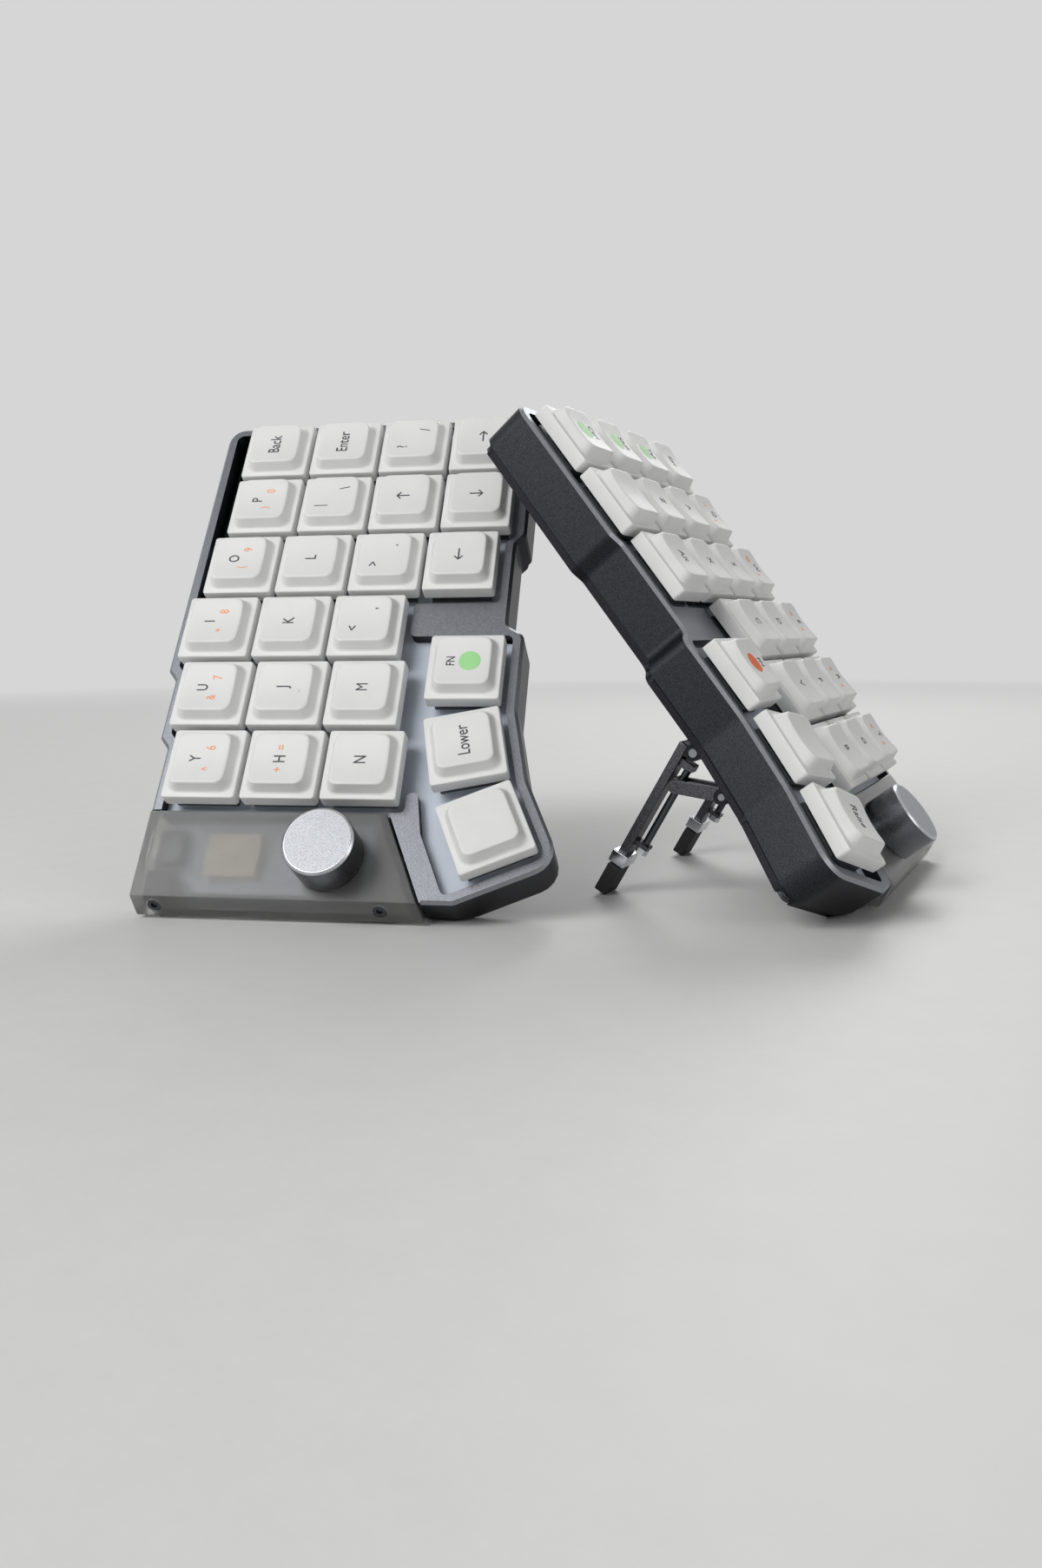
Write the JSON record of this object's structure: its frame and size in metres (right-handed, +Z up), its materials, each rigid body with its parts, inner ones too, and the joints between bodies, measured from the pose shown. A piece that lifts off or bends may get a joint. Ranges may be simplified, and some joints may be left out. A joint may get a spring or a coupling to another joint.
{
  "type": "ergonomic split keyboard",
  "caption": "Wireless split keyboard: two mirrored halves in dark metal with stepped white keys, thumb keys, a knob under a frosted end cover, and fold-out legs that stand each half up.",
  "frame": {"origin": "on the table, under the middle of the pair's bounding box", "axes": "+Z up; +X along the right half's standing edge, from its rear side to its thumb side; +Y from the viewer towards the back"},
  "size_m": [0.1942, 0.1298, 0.12],
  "materials": {
    "case_metal": "dark anodised, fine bead-blasted, with a bright cut edge",
    "plate_metal": "black anodised, matte",
    "pale_plate": "pale white, satin",
    "housing_plastic": "pale, satin",
    "board": "dark lacquer",
    "foil": "silver foil",
    "frosted_plastic": "frosted, translucent",
    "steel": "plain steel",
    "bright_steel": "polished",
    "knob_metal": "bead-blasted top, dark side",
    "black_plastic": "matte",
    "leg_metal": "dark satin",
    "foot_rubber": "matte",
    "cap_plastic": "off-white, finely textured, dark legends"
  },
  "bodies": {
    "right_half": {"right_case": "case_metal", "right_bottom_plate": "plate_metal", "right_switch_plate": "pale_plate", "right_switches": "housing_plastic", "right_main_board": "board", "right_controller_board": "board", "right_battery": "foil", "right_end_cover": "frosted_plastic", "right_screws": "steel", "right_encoder": "steel", "right_charging_port": "steel", "right_leg_pins": "steel"},
    "right_column_1": {"right_column_1_keys": "cap_plastic"},
    "right_column_2": {"right_column_2_keys": "cap_plastic"},
    "right_column_3": {"right_column_3_keys": "cap_plastic"},
    "right_column_4": {"right_column_4_keys": "cap_plastic"},
    "right_column_5": {"right_column_5_keys": "cap_plastic"},
    "right_column_6": {"right_column_6_keys": "cap_plastic"},
    "right_thumb_1": {"right_thumb_key_1": "cap_plastic"},
    "right_thumb_2": {"right_thumb_key_2": "cap_plastic"},
    "right_thumb_3": {"right_thumb_key_3": "cap_plastic"},
    "right_push_shaft": {"right_encoder_shaft": "steel"},
    "right_turn_knob": {"right_knob": "knob_metal"},
    "right_power_slider": {"right_power_switch": "black_plastic"},
    "right_leg_pair": {"right_legs": "leg_metal", "right_leg_rods": "bright_steel", "right_leg_feet": "foot_rubber", "right_leg_collars": "bright_steel"},
    "right_strut_pair": {"right_leg_struts": "leg_metal"},
    "right_slider_pair": {"right_leg_sliders": "leg_metal"},
    "left_half": {"left_case": "case_metal", "left_bottom_plate": "plate_metal", "left_switch_plate": "pale_plate", "left_switches": "housing_plastic", "left_main_board": "board", "left_controller_board": "board", "left_battery": "foil", "left_end_cover": "frosted_plastic", "left_screws": "steel", "left_encoder": "steel", "left_charging_port": "steel", "left_leg_pins": "steel"},
    "left_column_1": {"left_column_1_keys": "cap_plastic"},
    "left_column_2": {"left_column_2_keys": "cap_plastic"},
    "left_column_3": {"left_column_3_keys": "cap_plastic"},
    "left_column_4": {"left_column_4_keys": "cap_plastic"},
    "left_column_5": {"left_column_5_keys": "cap_plastic"},
    "left_column_6": {"left_column_6_keys": "cap_plastic"},
    "left_thumb_1": {"left_thumb_key_1": "cap_plastic"},
    "left_thumb_2": {"left_thumb_key_2": "cap_plastic"},
    "left_thumb_3": {"left_thumb_key_3": "cap_plastic"},
    "left_push_shaft": {"left_encoder_shaft": "steel"},
    "left_turn_knob": {"left_knob": "knob_metal"},
    "left_power_slider": {"left_power_switch": "black_plastic"},
    "left_leg_pair": {"left_legs": "leg_metal", "left_leg_rods": "bright_steel", "left_leg_feet": "foot_rubber", "left_leg_collars": "bright_steel"},
    "left_strut_pair": {"left_leg_struts": "leg_metal"},
    "left_slider_pair": {"left_leg_sliders": "leg_metal"}
  },
  "joints": [
    {"name": "right_column_1_press", "type": "slide", "parent": "right_half", "child": "right_column_1", "axis": [0, -0.8206, 0.5716], "range_m": [-0.003, 0], "stiffness_N_per_m": 300, "springref_m": 0.003},
    {"name": "right_column_2_press", "type": "slide", "parent": "right_half", "child": "right_column_2", "axis": [0, -0.8206, 0.5716], "range_m": [-0.003, 0], "stiffness_N_per_m": 300, "springref_m": 0.003},
    {"name": "right_column_3_press", "type": "slide", "parent": "right_half", "child": "right_column_3", "axis": [0, -0.8206, 0.5716], "range_m": [-0.003, 0], "stiffness_N_per_m": 300, "springref_m": 0.003},
    {"name": "right_column_4_press", "type": "slide", "parent": "right_half", "child": "right_column_4", "axis": [0, -0.8206, 0.5716], "range_m": [-0.003, 0], "stiffness_N_per_m": 400, "springref_m": 0.003},
    {"name": "right_column_5_press", "type": "slide", "parent": "right_half", "child": "right_column_5", "axis": [0, -0.8206, 0.5716], "range_m": [-0.003, 0], "stiffness_N_per_m": 400, "springref_m": 0.003},
    {"name": "right_column_6_press", "type": "slide", "parent": "right_half", "child": "right_column_6", "axis": [0, -0.8206, 0.5716], "range_m": [-0.003, 0], "stiffness_N_per_m": 400, "springref_m": 0.003},
    {"name": "right_thumb_1_press", "type": "slide", "parent": "right_half", "child": "right_thumb_1", "axis": [0, -0.8206, 0.5716], "range_m": [-0.003, 0], "stiffness_N_per_m": 100, "springref_m": 0.003},
    {"name": "right_thumb_2_press", "type": "slide", "parent": "right_half", "child": "right_thumb_2", "axis": [0, -0.8206, 0.5716], "range_m": [-0.003, 0], "stiffness_N_per_m": 100, "springref_m": 0.003},
    {"name": "right_thumb_3_press", "type": "slide", "parent": "right_half", "child": "right_thumb_3", "axis": [0, -0.8206, 0.5716], "range_m": [-0.003, 0], "stiffness_N_per_m": 100, "springref_m": 0.003},
    {"name": "right_knob_push", "type": "slide", "parent": "right_half", "child": "right_push_shaft", "axis": [0, -0.8206, 0.5716], "range_m": [-0.0005, 0], "stiffness_N_per_m": 800, "springref_m": 0.002},
    {"name": "right_knob_turn", "type": "hinge", "parent": "right_push_shaft", "child": "right_turn_knob", "pos_m": [-0.04762, -0.0566, 0.01661], "axis": [0, -0.8206, 0.5716], "continuous": true},
    {"name": "right_power_slide", "type": "slide", "parent": "right_half", "child": "right_power_slider", "axis": [0, 0.5716, 0.8206], "range_m": [0, 0.002]},
    {"name": "right_leg_fold", "type": "hinge", "parent": "right_half", "child": "right_leg_pair", "pos_m": [-0.04432, -0.01785, 0.0369], "axis": [1, 0, 0], "range_deg": [-60.1, 0]},
    {"name": "right_strut_swing", "type": "hinge", "parent": "right_half", "child": "right_strut_pair", "pos_m": [-0.04432, -0.02471, 0.02705], "axis": [1, 0, 0], "range_deg": [-120.2, 0]},
    {"name": "right_slider_turn", "type": "hinge", "parent": "right_strut_pair", "child": "right_slider_pair", "pos_m": [-0.04432, -0.01275, 0.02611], "axis": [1, 0, 0], "range_deg": [0, 60.1]},
    {"name": "left_column_1_press", "type": "slide", "parent": "left_half", "child": "left_column_1", "axis": [0.7438, -0.2629, 0.6146], "range_m": [-0.003, 0], "stiffness_N_per_m": 300, "springref_m": 0.003},
    {"name": "left_column_2_press", "type": "slide", "parent": "left_half", "child": "left_column_2", "axis": [0.7438, -0.2629, 0.6146], "range_m": [-0.003, 0], "stiffness_N_per_m": 300, "springref_m": 0.003},
    {"name": "left_column_3_press", "type": "slide", "parent": "left_half", "child": "left_column_3", "axis": [0.7438, -0.2629, 0.6146], "range_m": [-0.003, 0], "stiffness_N_per_m": 300, "springref_m": 0.003},
    {"name": "left_column_4_press", "type": "slide", "parent": "left_half", "child": "left_column_4", "axis": [0.7438, -0.2629, 0.6146], "range_m": [-0.003, 0], "stiffness_N_per_m": 400, "springref_m": 0.003},
    {"name": "left_column_5_press", "type": "slide", "parent": "left_half", "child": "left_column_5", "axis": [0.7438, -0.2629, 0.6146], "range_m": [-0.003, 0], "stiffness_N_per_m": 400, "springref_m": 0.003},
    {"name": "left_column_6_press", "type": "slide", "parent": "left_half", "child": "left_column_6", "axis": [0.7438, -0.2629, 0.6146], "range_m": [-0.003, 0], "stiffness_N_per_m": 400, "springref_m": 0.003},
    {"name": "left_thumb_1_press", "type": "slide", "parent": "left_half", "child": "left_thumb_1", "axis": [0.7438, -0.2629, 0.6146], "range_m": [-0.003, 0], "stiffness_N_per_m": 100, "springref_m": 0.003},
    {"name": "left_thumb_2_press", "type": "slide", "parent": "left_half", "child": "left_thumb_2", "axis": [0.7438, -0.2629, 0.6146], "range_m": [-0.003, 0], "stiffness_N_per_m": 100, "springref_m": 0.003},
    {"name": "left_thumb_3_press", "type": "slide", "parent": "left_half", "child": "left_thumb_3", "axis": [0.7438, -0.2629, 0.6146], "range_m": [-0.003, 0], "stiffness_N_per_m": 100, "springref_m": 0.003},
    {"name": "left_knob_push", "type": "slide", "parent": "left_half", "child": "left_push_shaft", "axis": [0.7438, -0.2629, 0.6146], "range_m": [-0.0005, 0], "stiffness_N_per_m": 800, "springref_m": 0.002},
    {"name": "left_knob_turn", "type": "hinge", "parent": "left_push_shaft", "child": "left_turn_knob", "pos_m": [0.07977, -0.01144, 0.01714], "axis": [0.7438, -0.2629, 0.6146], "continuous": true},
    {"name": "left_power_slide", "type": "slide", "parent": "left_half", "child": "left_power_slider", "axis": [-0.5794, 0.2048, 0.7889], "range_m": [0, 0.002]},
    {"name": "left_leg_fold", "type": "hinge", "parent": "left_half", "child": "left_leg_pair", "pos_m": [0.04116, -0.00129, 0.03533], "axis": [0.3333, 0.9428, 0], "range_deg": [-67.5, 0]},
    {"name": "left_strut_swing", "type": "hinge", "parent": "left_half", "child": "left_strut_pair", "pos_m": [0.04811, -0.00375, 0.02586], "axis": [0.3333, 0.9428, 0], "range_deg": [-135, 0]},
    {"name": "left_slider_turn", "type": "hinge", "parent": "left_strut_pair", "child": "left_slider_pair", "pos_m": [0.03689, 0.00022, 0.02738], "axis": [0.3333, 0.9428, 0], "range_deg": [0, 67.5]},
    {"name": "halves_apart", "type": "slide", "parent": "right_half", "child": "left_half", "axis": [1, 0, 0], "range_m": [0, 0.12]}
  ],
  "couplings": [
    {"joint": "right_strut_swing", "follows": "right_leg_fold", "ratio": 2},
    {"joint": "right_slider_turn", "follows": "right_leg_fold", "ratio": -1},
    {"joint": "left_strut_swing", "follows": "left_leg_fold", "ratio": 2},
    {"joint": "left_slider_turn", "follows": "left_leg_fold", "ratio": -1}
  ]
}
